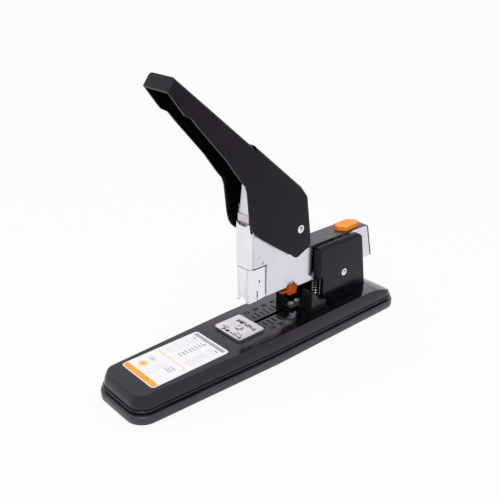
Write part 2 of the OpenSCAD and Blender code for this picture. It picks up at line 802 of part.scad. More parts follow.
module staple_pusher() {
  g = move_gap;
  low = floor_high + 1.5;
  color([0.95, 0.4, 0.05]) translate([0, pusher_front, 0]) difference() {
    union() {
      difference() {
        translate([g - channel_in, 0, low])
          cube([2 * (channel_in - g), pusher_length, pusher_top - low]);
        translate([-core_half - g, -1, low - 1])
          cube([2 * (core_half + g), pusher_length + 2, core_top + g - low + 1]);
      }
      translate([g - push_slot, 2, rod_z + 3])
        cube([2 * (push_slot - g), pusher_length - 4, core_top + 1 - rod_z - 3]);
      translate([-3.4, 2, rod_z - 3.4]) cube([6.8, pusher_length - 4, 7.4]);
    }
    translate([0, -1, rod_z]) rotate([-90, 0, 0])
      cylinder(r = rod_radius + run_gap, h = pusher_length + 2);
  }
}

// handle -------------------------------------------------------------------------------

// side views, in millimetres from the handle pin; they run past the back's lines, which trim them
arm_back = [[-44.5, 72.6], [-116.8, 135.1]];
body_back = [[12, 2], [8.5, 26], [1, 35.5], [-48.5, 78.3]];
tip_top = [-110.6, 143.2];
tip_low = [-141.6, 102.7];
tip_shift = handle_wall * [0.79, -0.61];
arm_side = [[-48, 92], tip_top, [-123, 127], [-114, 114.5], [-110.5, 110], [-105, 107],
  [-99, 99.5], [-90, 89], [-75, 71.5], [-63.5, 55.5], [-58.5, 49.5], [-56.5, 44], [-55, 30],
  [-54, 20.5], [-52.5, 14], [-50, 9.5], [-48, 7.5]];
body_side = [[-48, 92], [-48, 7.5], [-44.5, 4.5], [-21.5, -12.5], [-8, -21.5], [-6, -23.6],
  [-3, -24.6], [0, -23.8], [12.8, -18.2], [11.84, 6.04], [25, 7], [25, 60]];
// the hollows of the arm and of the body lap just behind the step between the two
arm_hollow = [[-46, -60], [-46, 150], tip_top + tip_shift, tip_low + tip_shift, [-120, 20]];
body_hollow = [[-47, -60], [40, -60], [40, 150], [-47, 150]];

// a long bar with a rounded back, its back along a to b; inset shrinks it to the hollow
module back_bar(a, b, inset) {
  w = hand_half - inset;
  r = bend_radius - inset;
  long = 2 * base_length;
  deep = 200;
  translate([0, a[0], a[1]]) rotate([heading(a, b), 0, 0]) translate([0, long / 2, 0])
    rotate([90, 0, 0]) linear_extrude(long)
      rounded_outline([[-w, inset], [w, inset], [w, deep], [-w, deep]], [r, r, 0, 0]);
}

// one stretch of the handle, or its hollow: a side view folded over the lines of its back
module folded(side, back, inset) {
  intersection() {
    across(hand_half + 1) polygon(side);
    intersection_for (i = [0:len(back) - 2]) back_bar(back[i], back[i + 1], inset);
  }
}

module handle() {
  color([0.05, 0.05, 0.06]) translate([0, pin_y, pin_z]) difference() {
    union() {
      folded(arm_side, arm_back, 0);
      folded(body_side, body_back, 0);
    }
    union() {
      folded(arm_hollow, arm_back, handle_wall + hair);
      folded(body_hollow, body_back, handle_wall);
    }
    cross_pin([0, 0], pin_radius, hand_half + 1);
  }
}

module handle_pin() {
  color([0.82, 0.82, 0.84]) difference() {
    union() {
      cross_pin(hand_pin, pin_radius, hand_half + 0.5);
      for (s = [-1, 1]) translate([s * (hand_half + 0.4), 0, 0])
        cross_pin(hand_pin, pin_radius + 0.9, 0.4);
    }
    for (s = [-1, 1]) translate([s * (hand_half + 0.9), 0, 0])
      cross_pin(hand_pin, pin_radius - 1, 1.3);
  }
}

module handle_washers() {
  low = frame_half + move_gap;
  color([0.6, 0.6, 0.6]) for (s = [-1, 1]) difference() {
    translate([s * (low + hand_in) / 2, 0, 0]) cross_pin(hand_pin, pin_radius + 3, (hand_in - low) / 2);
    cross_pin(hand_pin, pin_radius, hand_half);
  }
}

// a point on the underside of the handle's long back, a run along it and a depth below
function under_back(run, depth) =
  let (along = (body_back[3] - body_back[2]) / norm(body_back[3] - body_back[2]))
  body_back[2] + run * along + (handle_wall + depth) * [-along[1], along[0]];

module drive_lever() {
  tip = lever_tip - hand_pin;
  along = tip / norm(tip);
  side = [-along[1], along[0]];
  color([0.07, 0.07, 0.08]) translate([0, pin_y, pin_z]) difference() {
    union() {
      plates(lever_in, lever_out) {
        circle(r = 7.5);
        translate(tip) circle(r = 4.2);
        polygon([7.5 * side, tip + 4.2 * side, tip - 4.2 * side, -7.5 * side]);
        polygon([[-12, 4], [4, 0], under_back(3, 0), under_back(18, 0)]);
      }
      across(lever_out) polygon([under_back(3, 0), under_back(18, 0), under_back(18, lever_wall),
        under_back(3, lever_wall)]);
    }
    cross_pin([0, 0], pin_radius, hand_half);
    cross_pin(tip, lever_pin_radius, hand_half);
  }
}

module lever_pin() {
  color([0.75, 0.75, 0.77]) cross_pin(lever_tip, lever_pin_radius, ram_half - 0.1);
}

module ram() {
  slot_low = lever_tip[1] - lever_pin_radius - 0.35;
  slot_high = lever_tip[1] + lever_pin_radius + 0.95;
  slot_y0 = pin_y - lever_arm - lever_pin_radius - 0.5;
  slot_y1 = lever_tip[0] + lever_pin_radius + 0.5;
  color([0.84, 0.84, 0.86]) {
    translate([0, ram_front + ram_wall, 0]) rotate([90, 0, 0]) linear_extrude(ram_wall) {
      polygon([[-ram_half, ram_low], [ram_half, ram_low], [ram_half, neck_z],
        [tongue_half, tongue_z], [-tongue_half, tongue_z], [-ram_half, neck_z]]);
      translate([0, tongue_z]) circle(r = tongue_half);
    }
    plates(ram_half - lug_wall, ram_half) difference() {
      polygon([[ram_front, ram_low], [ram_front + 8, lug_low], [slot_y1 + 2.5, lug_low],
        [slot_y1 + 2.5, lug_high], [ram_front, lug_high]]);
      translate([slot_y0, slot_low]) square([slot_y1 - slot_y0, slot_high - slot_low]);
    }
    translate([-3, ram_front + 1, seat_tongue]) cube([6, ram_spring_y + 4 - ram_front - 1, 1.5]);
  }
}

module driver_blade() {
  color([0.7, 0.71, 0.74]) translate([-ram_half, blade_front, blade_low])
    cube([2 * ram_half, blade_wall, ram_low + 20 - blade_low]);
}

module ram_rivets() {
  color([0.5, 0.5, 0.52]) for (x = [-3, 3], z = [ram_low + 4, ram_low + 10])
    translate([x, ram_front + ram_wall, z]) rotate([-90, 0, 0]) cylinder(r = 1.2, h = 0.6);
}

base_shell();
base_tray();
base_pads();
base_screws();
size_label();
bracket();
bracket_rivets();
pivot_pin();
pivot_spacers();
return_spring();
anvil_plate();
anvil_stud();
paper_guide();
guide_screws();
guide_foot();
head_frame();
nose_cover();
top_cover();
nose_rivets();
catch_tab();
catch_clip();
driver_spring();
button_spring();
nose_plate();
magazine_channel();
magazine_core();
magazine_tail();
pusher_rod();
pusher_spring();
staple_pusher();
release_button();
handle();
handle_pin();
handle_washers();
drive_lever();
lever_pin();
ram();
driver_blade();
ram_rivets();
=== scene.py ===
"""Looks for the heavy-duty desk stapler: materials, printed label, stamped scale and light."""
import math

import bmesh
import bpy
from mathutils import Matrix, Vector
from mathutils.bvhtree import BVHTree


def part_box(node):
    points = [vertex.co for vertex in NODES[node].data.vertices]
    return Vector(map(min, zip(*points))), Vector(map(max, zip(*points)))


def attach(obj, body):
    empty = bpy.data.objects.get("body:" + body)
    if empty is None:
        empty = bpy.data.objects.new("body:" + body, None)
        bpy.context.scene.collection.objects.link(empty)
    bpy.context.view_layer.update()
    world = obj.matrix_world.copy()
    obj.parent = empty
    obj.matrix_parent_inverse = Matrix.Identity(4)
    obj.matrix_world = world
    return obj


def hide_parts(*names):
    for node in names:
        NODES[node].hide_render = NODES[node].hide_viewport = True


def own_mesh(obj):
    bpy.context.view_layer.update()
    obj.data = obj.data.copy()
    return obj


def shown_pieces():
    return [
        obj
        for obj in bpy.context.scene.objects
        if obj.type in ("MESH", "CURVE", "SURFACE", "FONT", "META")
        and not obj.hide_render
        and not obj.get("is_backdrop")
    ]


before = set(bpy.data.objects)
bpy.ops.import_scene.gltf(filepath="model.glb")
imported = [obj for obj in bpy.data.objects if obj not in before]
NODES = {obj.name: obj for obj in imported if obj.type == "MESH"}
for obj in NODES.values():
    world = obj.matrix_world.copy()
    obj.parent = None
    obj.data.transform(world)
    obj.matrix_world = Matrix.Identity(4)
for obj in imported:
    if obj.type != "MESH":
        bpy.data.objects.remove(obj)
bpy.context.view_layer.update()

MM = 0.001

# ---------------------------------------------------------------- image points, 500 by 500
IMAGE = 500
EDGES = {"left": 91.5, "right": 388.0, "top": 74.0, "bottom": 425.7}
POINTS = {
    "handle_pin": (300.3, 228.8),
    "main_pin": (343.5, 271.5),
    "nose_seam_left": (237.0, 264.5),
    "anvil_near_corner": (239.0, 342.5),
    "anvil_far_corner": (236.5, 315.5),
    "label_front_corner": (123.5, 366.0),
    "label_rear_corner": (228.5, 351.5),
    "button_right": (358.5, 221.5),
    "guide_top_front": (312.0, 293.0),
    "nose_oval": (259.5, 281.5),
    "nose_slit": (257.0, 295.0),
    "nose_emboss": (262.0, 263.3),
}

# ---------------------------------------------------------------- camera
LENS = 50.4
SENSOR = 36.0
AZIMUTH = math.radians(48.42)
ELEVATION = math.radians(24.52)
CAMERA_AT = Vector((376.7, -345.6, 320.4)) * MM


def add_camera():
    data = bpy.data.cameras.new("camera")
    data.lens = LENS
    data.sensor_width = SENSOR
    data.sensor_fit = "AUTO"
    data.clip_start = 0.01
    camera = bpy.data.objects.new("camera", data)
    bpy.context.scene.collection.objects.link(camera)
    camera.location = CAMERA_AT
    camera.rotation_euler = (math.pi / 2 - ELEVATION, 0, AZIMUTH)
    bpy.context.scene.camera = camera
    bpy.context.view_layer.update()
    return camera


CAMERA = add_camera()

# where along a ray that misses the nodes their nearest surface is looked for, in metres
SEARCH_FROM = 0.3
SEARCH_STEP = 0.002
SEARCH_STEPS = 300


def image_ray(x, y):
    """The camera's place and the direction of the ray through an image point."""
    data = CAMERA.data
    local = Vector((x - IMAGE / 2 + data.shift_x * IMAGE, IMAGE / 2 - y + data.shift_y * IMAGE,
                    -IMAGE * data.lens / data.sensor_width))
    return CAMERA.matrix_world.translation, (CAMERA.matrix_world.to_3x3() @ local).normalized()


def tree_of(objects):
    """A BVHTree of objects as finished and placed."""
    graph = bpy.context.evaluated_depsgraph_get()
    verts, faces = [], []
    for obj in objects:
        mesh = obj.evaluated_get(graph).to_mesh()
        base = len(verts)
        verts += [obj.matrix_world @ v.co for v in mesh.vertices]
        faces += [[base + i for i in p.vertices] for p in mesh.polygons]
        obj.evaluated_get(graph).to_mesh_clear()
    return BVHTree.FromPolygons(verts, faces)


def place(x, y, *nodes):
    """(point, normal) where the ray through an image point meets the nodes, or comes nearest."""
    tree = tree_of([NODES[n] for n in nodes])
    origin, way = image_ray(x, y)
    hit, normal, _, _ = tree.ray_cast(origin, way)
    if hit is None:
        spots = [origin + way * (SEARCH_FROM + SEARCH_STEP * i) for i in range(SEARCH_STEPS)]
        hit, normal, _, _ = min((tree.find_nearest(s) for s in spots), key=lambda found: found[3])
    return hit, normal if normal.dot(way) < 0 else -normal


# ---------------------------------------------------------------- materials
def srgb(r, g, b):
    """A linear colour from 0 to 255 screen values."""
    def linear(c):
        c /= 255
        return c / 12.92 if c <= 0.04045 else ((c + 0.055) / 1.055) ** 2.4
    return (linear(r), linear(g), linear(b), 1.0)


NOISE_RANGE = (0.35, 0.65)


class Tree:
    """Shorthand for building a material's nodes."""

    def __init__(self, name):
        self.material = bpy.data.materials.new(name)
        self.material.use_nodes = True
        self.nodes = self.material.node_tree.nodes
        self.links = self.material.node_tree.links
        self.shader = self.nodes["Principled BSDF"]
        self.place = self.nodes.new("ShaderNodeTexCoord").outputs["Object"]

    def add(self, kind, **values):
        node = self.nodes.new(kind)
        for key, value in values.items():
            setattr(node, key, value)
        return node

    def join(self, output, node, socket):
        self.links.new(output, node.inputs[socket])

    def noise(self, scale, detail=3.0, rough=0.5, stretch=(1, 1, 1)):
        mapping = self.add("ShaderNodeMapping")
        mapping.inputs["Scale"].default_value = stretch
        self.join(self.place, mapping, "Vector")
        node = self.add("ShaderNodeTexNoise")
        node.inputs["Scale"].default_value = scale
        node.inputs["Detail"].default_value = detail
        node.inputs["Roughness"].default_value = rough
        self.join(mapping.outputs["Vector"], node, "Vector")
        return node.outputs["Fac"]

    def ramp(self, output, low, high):
        """A noise's usual middle range spread from low to high."""
        node = self.add("ShaderNodeMapRange")
        node.inputs["From Min"].default_value, node.inputs["From Max"].default_value = NOISE_RANGE
        node.inputs["To Min"].default_value = low
        node.inputs["To Max"].default_value = high
        self.join(output, node, "Value")
        return node.outputs["Result"]

    def mix(self, factor, a, b):
        """A colour between two fixed ones."""
        node = self.add("ShaderNodeMix", data_type="RGBA")
        self.join(factor, node, "Factor")
        for socket, value in (("A", a), ("B", b)):
            spot = [i for i in node.inputs if i.name == socket and i.type == "RGBA"][0]
            spot.default_value = value
        return [o for o in node.outputs if o.type == "RGBA"][0]

    def bump(self, output, strength, distance, after=None):
        node = self.add("ShaderNodeBump")
        node.inputs["Strength"].default_value = strength
        node.inputs["Distance"].default_value = distance
        self.join(output, node, "Height")
        if after is not None:
            self.join(after, node, "Normal")
        return node.outputs["Normal"]

    def set(self, **values):
        for name, value in values.items():
            self.shader.inputs[name.replace("_", " ")].default_value = value


# the lilac cast of the shine on the black paint
GLOSS_TINT = (0.88, 0.78, 1.0, 1.0)


def enamel(name, dark, light, rough, specular):
    """Stoved black paint: faint orange peel, soft mottling and slightly uneven gloss."""
    t = Tree(name)
    t.join(t.mix(t.ramp(t.noise(60), 0, 1), dark, light), t.shader, "Base Color")
    t.join(t.ramp(t.noise(140, 4), *rough), t.shader, "Roughness")
    swell = t.bump(t.noise(90, 1), 0.05, 0.0006)
    t.join(t.bump(t.noise(1100, 2), 0.06, 0.0002, swell), t.shader, "Normal")
    t.set(Specular_IOR_Level=specular, Specular_Tint=GLOSS_TINT)
    return t.material


def plated(name, dark, light, rough, brush=(1, 1, 0.05)):
    """Bright plated sheet: a faint rolling grain and the slight waviness of pressed steel."""
    t = Tree(name)
    t.join(t.mix(t.ramp(t.noise(50, 2), 0, 1), dark, light), t.shader, "Base Color")
    grain = t.noise(900, 3, 0.6, brush)
    t.join(t.ramp(grain, *rough), t.shader, "Roughness")
    swell = t.bump(t.noise(45, 1), 0.012, 0.0015)
    t.join(t.bump(grain, 0.02, 0.0001, swell), t.shader, "Normal")
    t.set(Metallic=1.0)
    return t.material


def moulded(name, dark, light, rough=(0.35, 0.5), grain=0.12, specular=0.4, sub=0.0):
    """Moulded plastic or rubber: a fine spark-eroded grain and soft colour drift."""
    t = Tree(name)
    t.join(t.mix(t.ramp(t.noise(70), 0, 1), dark, light), t.shader, "Base Color")
    t.join(t.ramp(t.noise(260, 4), *rough), t.shader, "Roughness")
    t.join(t.bump(t.noise(1600, 2), grain, 0.0001), t.shader, "Normal")
    t.set(Specular_IOR_Level=specular, Subsurface_Weight=sub, Subsurface_Scale=0.002)
    return t.material


def printed(name, dark, light, rough=(0.2, 0.3)):
    """Ink or film on the label: slight fibre mottling under a smooth top."""
    t = Tree(name)
    t.join(t.mix(t.ramp(t.noise(220, 4), 0, 1), dark, light), t.shader, "Base Color")
    t.join(t.ramp(t.noise(120), *rough), t.shader, "Roughness")
    t.join(t.bump(t.noise(700, 2), 0.02, 0.0001), t.shader, "Normal")
    t.set(Specular_IOR_Level=0.3)
    return t.material


BLACK = enamel("enamel_black", srgb(5, 4, 6), srgb(8, 6, 10), rough=(0.08, 0.14),
               specular=0.5)
HANDLE = enamel("enamel_handle", srgb(10, 6, 9), srgb(17, 11, 16), rough=(0.24, 0.32),
                specular=0.2)
BRACKET = enamel("enamel_bracket", srgb(4, 2, 6), srgb(9, 6, 11), rough=(0.14, 0.2),
                 specular=0.26)
COVER = enamel("enamel_cover", srgb(34, 29, 33), srgb(50, 44, 49), rough=(0.25, 0.35),
               specular=0.4)
CHROME = plated("chrome_sheet", srgb(215, 213, 222), srgb(221, 219, 228), rough=(0.22, 0.28))
NOSE = plated("chrome_nose", srgb(229, 228, 235), srgb(235, 234, 241), rough=(0.12, 0.18))
STEEL = plated("steel_bright", srgb(196, 192, 197), srgb(214, 210, 215), rough=(0.26, 0.38),
               brush=(1, 0.06, 1))
DARK_STEEL = plated("steel_spring", srgb(120, 118, 124), srgb(160, 158, 164),
                    rough=(0.25, 0.4))
TRAY = moulded("tray_plastic", srgb(34, 32, 39), srgb(46, 44, 52), rough=(0.26, 0.36),
               specular=0.55)
RUBBER = moulded("pad_rubber", srgb(14, 14, 15), srgb(24, 24, 25), rough=(0.6, 0.75), grain=0.3)
GUIDE = moulded("guide_plastic", srgb(8, 8, 12), srgb(15, 14, 20), rough=(0.24, 0.36),
                grain=0.06, specular=0.3)
ORANGE = moulded("orange_plastic", srgb(255, 140, 10), srgb(255, 156, 24), rough=(0.3, 0.4),
                 grain=0.05, specular=0.22, sub=0.1)
# the catch tab's orange made darker as painted shade: the same orange plastic, seen partly in
# shadow
ORANGE_IN_SHADE = moulded("orange_shaded", srgb(184, 70, 8), srgb(204, 84, 14), rough=(0.3, 0.42),
                      grain=0.05, specular=0.25)
PAPER = printed("label_film", srgb(244, 243, 242), srgb(252, 251, 250))
INK_ORANGE = printed("ink_orange", srgb(246, 158, 40), srgb(255, 178, 62))
INK_PALE_ORANGE = printed("ink_pale_orange", srgb(250, 214, 150), srgb(254, 224, 170))
# grey ink of the label's print, and also the painted shade of the pressed triangle on the nose
GREY_INK_AND_SHADE = printed("grey_ink_and_painted_shade", srgb(160, 158, 164), srgb(186, 184, 190))
INK_PALE = printed("ink_pale", srgb(214, 212, 220), srgb(228, 226, 232))
# flat black for the stamped depth scale, and for painted shade in the anvil's grooves, in the pin
# mouths and along the top of the nose cover's front
STAMP_AND_SHADE = moulded("stamp_and_shade_black", srgb(3, 2, 4), srgb(8, 6, 9), rough=(0.8, 0.9), specular=0.0)
# painted shade: dark sheets standing for the shadow inside the nose's oval hole and slit
HOLE_SHADE = moulded("hole_painted_shade", srgb(70, 68, 76), srgb(96, 94, 102), rough=(0.5, 0.6),
                 specular=0.2)

SURFACES = {
    "base_shell": BLACK, "base_tray": TRAY, "base_pads": RUBBER, "base_screws": STEEL,
    "size_label": PAPER, "bracket": BRACKET, "bracket_rivets": BRACKET, "pivot_pin": NOSE,
    "pivot_spacers": STEEL, "return_spring": DARK_STEEL, "anvil_plate": STEEL, "anvil_stud": STEEL,
    "paper_guide": GUIDE, "guide_screws": STEEL, "guide_foot": STEEL, "head_frame": CHROME,
    "nose_cover": NOSE, "top_cover": COVER, "nose_rivets": CHROME, "catch_tab": ORANGE_IN_SHADE,
    "catch_clip": STEEL, "driver_spring": DARK_STEEL, "button_spring": DARK_STEEL,
    "nose_plate": NOSE, "magazine_channel": CHROME, "magazine_core": STEEL,
    "magazine_tail": ORANGE, "pusher_rod": STEEL, "pusher_spring": DARK_STEEL,
    "staple_pusher": STEEL, "release_button": ORANGE, "handle": HANDLE, "handle_pin": NOSE,
    "handle_washers": STEEL, "drive_lever": STEEL, "lever_pin": STEEL, "ram": CHROME,
    "driver_blade": STEEL, "ram_rivets": STEEL,
}

# how wide each node's sharp edges are broken, in millimetres
EDGE_BREAK = {
    "handle": 0.9, "head_frame": 0.2, "nose_cover": 0.25, "nose_plate": 0.2, "top_cover": 0.5,
    "bracket": 0.4, "paper_guide": 0.5, "release_button": 0.35, "catch_tab": 0.3,
    "anvil_plate": 0.3, "magazine_tail": 0.4, "base_shell": 0.15, "base_tray": 0.2,
    "size_label": 0.05, "ram": 0.15, "drive_lever": 0.15, "magazine_channel": 0.1,
    "guide_screws": 0.25, "handle_pin": 0.2, "pivot_pin": 0.2,
}
SMOOTH_ANGLE = math.radians(32)
# faces whose corners lie this near each other are joined, in metres
WELD = 1e-6


def crisp_group():
    """Geometry nodes that weld a mesh's faces and shade it smooth up to SMOOTH_ANGLE."""
    group = bpy.data.node_groups.new("weld_and_shade", "GeometryNodeTree")
    for way in ("INPUT", "OUTPUT"):
        group.interface.new_socket("Geometry", in_out=way, socket_type="NodeSocketGeometry")
    new = group.nodes.new
    start, finish = new("NodeGroupInput"), new("NodeGroupOutput")
    weld, clear = new("GeometryNodeMergeByDistance"), new("GeometryNodeRemoveAttribute")
    faces, edges = new("GeometryNodeSetShadeSmooth"), new("GeometryNodeSetShadeSmooth")
    angle, compare = new("GeometryNodeInputMeshEdgeAngle"), new("FunctionNodeCompare")
    weld.inputs["Distance"].default_value = WELD
    clear.inputs["Name"].default_value = "custom_normal"
    edges.domain = "EDGE"
    compare.operation = "LESS_THAN"
    compare.inputs["B"].default_value = SMOOTH_ANGLE
    chain = (start, weld, clear, faces, edges, finish)
    for a, b in zip(chain, chain[1:]):
        group.links.new(a.outputs[0], b.inputs["Geometry"])
    group.links.new(angle.outputs["Unsigned Angle"], compare.inputs["A"])
    group.links.new(compare.outputs["Result"], edges.inputs["Shade Smooth"])
    return group


WELD_AND_SHADE = crisp_group()


def dress(name, obj):
    """Gives an object a node's material, smooth shading and broken edges."""
    obj.data.materials.clear()
    obj.data.materials.append(SURFACES[name])
    shade = obj.modifiers.new("weld_and_shade", "NODES")
    shade.node_group = WELD_AND_SHADE
    if name in EDGE_BREAK:
        bevel = obj.modifiers.new("edge_break", "BEVEL")
        bevel.width = EDGE_BREAK[name] * MM
        bevel.segments = 2
        bevel.limit_method = "ANGLE"
        bevel.angle_limit = SMOOTH_ANGLE
        bevel.harden_normals = True


for node_name, node_object in NODES.items():
    dress(node_name, node_object)


# ---------------------------------------------------------------- mesh helpers
def finished(name, mesh, material, body):
    """An object of a mesh, with its material, its body and its finish."""
    obj = bpy.data.objects.new(name, mesh)
    bpy.context.scene.collection.objects.link(obj)
    obj.data.materials.append(material)
    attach(obj, body)
    return obj


CORNER_STEPS = 5
# where a plate's sides stop and its crown begins, and how far the crown draws in, as shares
CROWN_FROM = 0.6
CROWN_IN = 0.3


def rounded_outline(width, height, radius):
    """Corner points of a rounded rectangle about the origin, anticlockwise."""
    radius = min(radius, width / 2, height / 2)
    points = []
    for k, (sx, sy) in enumerate(((1, 1), (-1, 1), (-1, -1), (1, -1))):
        cx, cy = sx * (width / 2 - radius), sy * (height / 2 - radius)
        for i in range(CORNER_STEPS + 1):
            a = math.pi / 2 * (k + i / CORNER_STEPS)
            points.append((cx + radius * math.cos(a), cy + radius * math.sin(a)))
    return points


def add_plate(mesh, outline, to_world, low, high):
    """Adds a flat closed plate to a bmesh: an outline between two heights, edges crowned."""
    count = len(outline)
    middle = Vector((sum(p[0] for p in outline) / count, sum(p[1] for p in outline) / count))
    rings = []
    deep = high - low
    for z, shrink in ((low, 0.0), (low + deep * CROWN_FROM, 0.0), (high, CROWN_IN * deep)):
        ring = []
        for p in outline:
            flat = Vector(p)
            inward = middle - flat
            flat += inward.normalized() * min(shrink, inward.length * CROWN_IN)
            ring.append(mesh.verts.new(to_world @ Vector((flat.x, flat.y, z))))
        rings.append(ring)
    for a, b in zip(rings, rings[1:]):
        for i in range(count):
            j = (i + 1) % count
            mesh.faces.new((a[i], a[j], b[j], b[i]))
    mesh.faces.new(rings[-1])
    mesh.faces.new(list(reversed(rings[0])))


def ellipse(across, up, count):
    """Corner points of an ellipse about the origin, from its half widths."""
    turns = (2 * math.pi * i / count for i in range(count))
    return [(across * math.cos(a), up * math.sin(a)) for a in turns]


def plates_piece(name, plates, material, body):
    """One piece made of several plates, each (outline, matrix, low, high) in metres."""
    mesh = bmesh.new()
    for outline, to_world, low, high in plates:
        add_plate(mesh, outline, to_world, low, high)
    data = bpy.data.meshes.new(name)
    mesh.to_mesh(data)
    mesh.free()
    return finished(name, data, material, body)


def flat_at(x, y, z, turn=0.0):
    """A matrix for a horizontal plate at (x, y, z) millimetres, turned about Z."""
    return Matrix.Translation(Vector((x, y, z)) * MM) @ Matrix.Rotation(turn, 4, "Z")


def box_outline(width, height, radius):
    """A rounded rectangle's outline, from millimetres."""
    return rounded_outline(width * MM, height * MM, radius * MM)


# ---------------------------------------------------------------- springs
# node, its joint, its body, the way it lies, its fixed end and how far it shortens, in mm
UP, REARWARD = (0, 0, 1), (0, 1, 0)
SPRINGS = (
    ("driver_spring", "ram_slide", "head", UP, "low", 26.8),
    ("return_spring", "head_pivot", "base", UP, "low", 4.7),
    ("button_spring", "button_press", "head", UP, "low", 2.2),
    ("pusher_spring", "pusher_slide", "magazine", REARWARD, "high", 68),
)


def live_spring(node, joint, body, axis, fixed, travel):
    """Stands for a CAD spring with a dressed copy of its mesh on its body and hides the node;
    joint, axis, fixed and travel are not used.
    """
    coil = bpy.data.objects.new(node + "_coil", NODES[node].data.copy())
    bpy.context.scene.collection.objects.link(coil)
    coil.matrix_world = NODES[node].matrix_world.copy()
    dress(node, coil)
    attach(coil, body)
    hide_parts(node)
    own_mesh(coil)


for spring in SPRINGS:
    live_spring(*spring)

# ---------------------------------------------------------------- label print
LABEL_LOW, LABEL_HIGH = (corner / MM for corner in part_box("size_label"))
# how thick a printed or stamped mark is
INK = 0.04 * MM
# millimetres from the label's front edge to its front band, its round mark and its thin line
BAND_IN, MARK_IN, LINE_IN = 3.2, 13, 32
# a bar's corner radius as a share of its narrow side
BAR_ROUND = 0.2


def label_print():
    """Generic bands, bars and a round mark where the real label carries its print."""
    x0, x1 = LABEL_LOW.x, LABEL_HIGH.x
    y0, y1 = LABEL_LOW.y, LABEL_HIGH.y
    z = LABEL_HIGH.z
    width, mid, line = x1 - x0, (x0 + x1) / 2, y0 + LINE_IN

    def bar(x, y, long, deep):
        return box_outline(long, deep, min(long, deep) * BAR_ROUND), flat_at(x, y, z), 0, INK

    band = box_outline(width - 1.6, 5.0, 1.6)
    plates_piece("label_band", [(band, flat_at(mid, y0 + BAND_IN, z), 0, INK)], INK_ORANGE,
                 "base")
    plates_piece("label_line", [bar(mid - 1, line, width - 8, 1.1)], INK_PALE_ORANGE,
                 "base")
    # the heading at the rear, its column of rows, three column heads and two short notes
    grey = [bar(mid, y1 - 3.4, width - 5, 3.4)]
    grey += [bar(mid - 1.5, line + 9 + 3.1 * i, 5.4, 1.1) for i in range(8)]
    grey += [bar(x, y1 - 7.6, 2.6, 1.2) for x in (x0 + 7, mid, x1 - 7)]
    grey += [bar(x0 + 9.5, y0 + 21 + 1.8 * i, 6, 0.8) for i in range(2)]
    grey += [bar(mid + 9.5, y0 + 21 + 2.4 * i, 7, 0.9) for i in range(3)]
    plates_piece("label_bars", grey, GREY_INK_AND_SHADE, "base")
    # two columns of fine print behind the line, and one before it
    pale = [bar(mid + side * 12, line + 6 + 2.6 * row, 9, 0.6)
            for side in (-1, 1) for row in range(11)]
    pale += [bar(mid + 2, y0 + 11 + 2.8 * row, 8, 0.6) for row in range(6)]
    plates_piece("label_notes", pale, INK_PALE, "base")
    for name, radius, material, up in (("label_ring", 4.0, INK_PALE_ORANGE, 0),
                                       ("label_mark", 1.9, INK_ORANGE, INK)):
        disc = ellipse(radius * MM, radius * MM, 32)
        plates_piece(name, [(disc, flat_at(x0 + 10, y0 + MARK_IN, z), up, up + INK)],
                     material, "base")


label_print()

# ---------------------------------------------------------------- stamped depth scale
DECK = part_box("base_shell")[1].z / MM
SLOT_HALF = 1.75
SCALE_START = -6.0
SCALE_STEP = 5.0
# ticks beside the slot: how many a side, their gap to the slot, both lengths and their breadth
TICKS = 9
TICK_GAP = 2
TICK_LONG, TICK_SHORT = 8.6, 6.4
TICK_DEEP, TICK_ROUND = 1.2, 0.15
# numbers beside the ticks: how many a side, their place across, their size and extra weight
NUMBERS = 4
NUMBER_X = 16.2
NUMBER_SIZE = 5.6
NUMBER_WEIGHT = 0.12
# half of a number's thickness, by which it is lifted to stand on the deck
NUMBER_LIFT = 0.02


def depth_scale():
    """Ticks and plain numbers beside the guide's slot, as stamped in the deck."""
    ticks = []
    for side in (-1, 1):
        for i in range(TICKS):
            long = TICK_LONG if i % 2 == 0 else TICK_SHORT
            spot = flat_at(side * (SLOT_HALF + TICK_GAP + long / 2),
                           SCALE_START + i * SCALE_STEP, DECK)
            ticks.append((box_outline(long, TICK_DEEP, TICK_ROUND), spot, 0, INK))
    plates_piece("depth_ticks", ticks, STAMP_AND_SHADE, "base")
    for side in (-1, 1):
        for i in range(NUMBERS):
            text = bpy.data.curves.new("depth_number", "FONT")
            text.body = str(10 * (i + 1))
            text.size = NUMBER_SIZE * MM
            text.offset = NUMBER_WEIGHT * MM
            text.extrude = INK / 2
            text.align_x = text.align_y = "CENTER"
            spot = flat_at(side * NUMBER_X, SCALE_START + 2 * (i + 0.5) * SCALE_STEP,
                           DECK + NUMBER_LIFT, math.pi / 2)
            draft = bpy.data.objects.new("depth_number", text)
            data = bpy.data.meshes.new_from_object(draft)
            data.transform(spot)
            bpy.data.objects.remove(draft)
            number = finished("depth_number_%s_%d" % ("far" if side < 0 else "near", i), data,
                              STAMP_AND_SHADE, "base")
            weld = number.modifiers.new("weld", "WELD")
            weld.merge_threshold = WELD


depth_scale()


# painted shade of the anvil's clinching grooves: each dark mark's place across, its length and its
# breadth, and each row's place along and its shift
ANVIL_SHADE_STROKES = ((-9.6, 1.3, 3.6), (-7.2, 3.2, 1.1), (-4.4, 2.6, 2.8), (0, 4.4, 1.0),
                 (3.4, 1.1, 3.4), (6.8, 4.0, 1.0), (10.4, 1.4, 3.8))
ANVIL_SHADE_ROWS = ((-17, 0.6), (-33.8, 2.2))


def anvil_groove_shade():
    """Dark marks beside the two pairs of clinching grooves: painted shade of the grooves."""
    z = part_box("anvil_plate")[1].z / MM
    marks = [(box_outline(long, deep, 0.2), flat_at(x + shift, y, z), 0, INK)
             for y, shift in ANVIL_SHADE_ROWS for x, long, deep in ANVIL_SHADE_STROKES]
    plates_piece("anvil_groove_shade", marks, STAMP_AND_SHADE, "anvil")


anvil_groove_shade()


